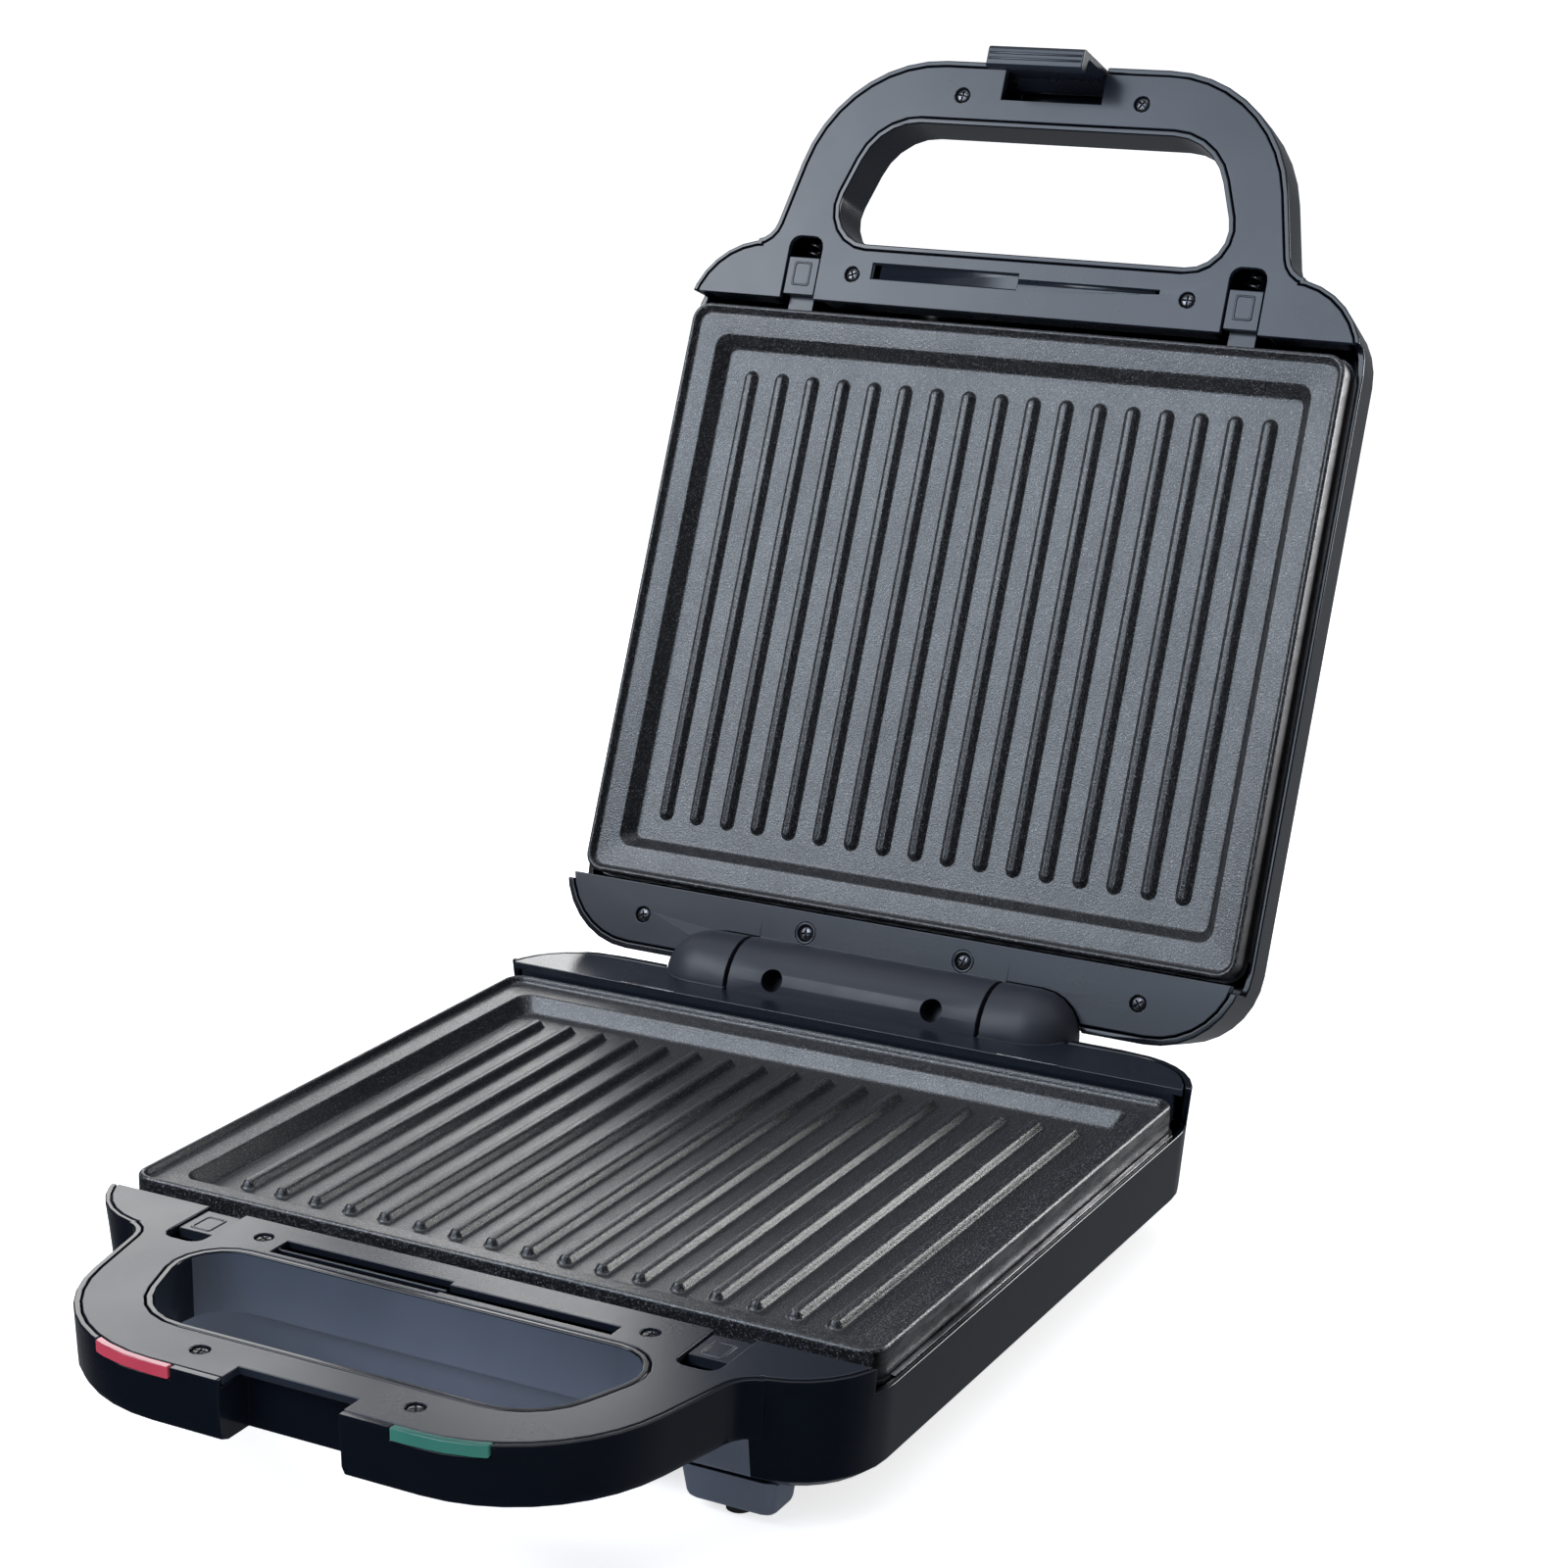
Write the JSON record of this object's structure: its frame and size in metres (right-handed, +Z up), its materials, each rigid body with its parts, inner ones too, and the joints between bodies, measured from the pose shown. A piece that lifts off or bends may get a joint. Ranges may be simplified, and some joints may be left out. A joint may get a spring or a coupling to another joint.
{
  "type": "panini press",
  "caption": "Hinged contact grill with two ribbed plates, D-shaped handles, a lock latch and plate-release buttons, standing open.",
  "frame": {"origin": "centre of the bounding box at the height of the feet's soles, lid standing open", "axes": "+Z up, +Y from the handles towards the hinge, +X along the hinge line to the right as seen from the handles"},
  "size_m": [0.2554, 0.4856, 0.3625],
  "materials": {
    "shell": "glossy blue-black",
    "cover": "satin slate blue-grey",
    "coating": "speckled dark non-stick coating on cast aluminium",
    "aluminium": "bright rolled",
    "steel": "plain",
    "black_steel": "black oxide",
    "element": "heat-tinted sheath",
    "rubber": "matte black",
    "red": "translucent red",
    "green": "translucent green",
    "glass": "clear",
    "phenolic": "brown moulded"
  },
  "bodies": {
    "base": {"base_shell": "shell", "base_handle_cover": "cover", "base_rear_cover": "cover", "lower_grill_plate": "coating", "lower_reflector_tray": "aluminium", "lower_heating_element": "element", "red_power_lens": "red", "green_ready_lens": "green", "cord_grommet": "rubber", "thermostat": "phenolic", "terminal_block": "phenolic", "indicator_lamp_left": "glass", "indicator_lamp_right": "glass", "hinge_pin_left": "steel", "hinge_pin_right": "steel", "rubber_foot_front_left": "rubber", "rubber_foot_front_right": "rubber", "rubber_foot_rear_left": "rubber", "rubber_foot_rear_right": "rubber", "lower_latch_spring_left": "steel", "lower_latch_spring_right": "steel", "lower_cover_screw_left_1": "black_steel", "lower_cover_screw_left_2": "black_steel", "lower_cover_screw_right_1": "black_steel", "lower_cover_screw_right_2": "black_steel"},
    "lid": {"lid_shell": "shell", "lid_handle_cover": "cover", "lid_rear_cover": "cover", "upper_grill_plate": "coating", "upper_reflector_tray": "aluminium", "upper_heating_element": "element", "lock_pin": "steel", "upper_latch_spring_left": "steel", "upper_latch_spring_right": "steel", "upper_rear_screw_left": "black_steel", "upper_rear_screw_right": "black_steel", "upper_barrel_screw_left": "black_steel", "upper_barrel_screw_right": "black_steel", "upper_cover_screw_left_1": "black_steel", "upper_cover_screw_left_2": "black_steel", "upper_cover_screw_right_1": "black_steel", "upper_cover_screw_right_2": "black_steel"},
    "lock": {"lock_latch": "cover"},
    "lower_latch_left": {"lower_release_latch_left": "cover"},
    "lower_latch_right": {"lower_release_latch_right": "cover"},
    "upper_latch_left": {"upper_release_latch_left": "cover"},
    "upper_latch_right": {"upper_release_latch_right": "cover"}
  },
  "joints": [
    {"name": "lid_hinge", "type": "hinge", "parent": "base", "child": "lid", "pos_m": [0, 0.09203, 0.0494], "axis": [1, 0, 0], "range_deg": [0, 112.4]},
    {"name": "lock_swing", "type": "hinge", "parent": "lid", "child": "lock", "pos_m": [0, 0.2361, 0.34803], "axis": [1, 0, 0], "range_deg": [0, 8]},
    {"name": "lower_release_left", "type": "slide", "parent": "base", "child": "lower_latch_left", "axis": [0, -1, 0], "range_m": [0, 0.0055], "stiffness_N_per_m": 300, "springref_m": -0.003, "deforming": ["lower_latch_spring_left"]},
    {"name": "lower_release_right", "type": "slide", "parent": "base", "child": "lower_latch_right", "axis": [0, -1, 0], "range_m": [0, 0.0055], "stiffness_N_per_m": 300, "springref_m": -0.003, "deforming": ["lower_latch_spring_right"]},
    {"name": "upper_release_left", "type": "slide", "parent": "lid", "child": "upper_latch_left", "axis": [0, 0.3811, 0.9245], "range_m": [0, 0.0055], "stiffness_N_per_m": 300, "springref_m": -0.003, "deforming": ["upper_latch_spring_left"]},
    {"name": "upper_release_right", "type": "slide", "parent": "lid", "child": "upper_latch_right", "axis": [0, 0.3811, 0.9245], "range_m": [0, 0.0055], "stiffness_N_per_m": 300, "springref_m": -0.003, "deforming": ["upper_latch_spring_right"]}
  ]
}
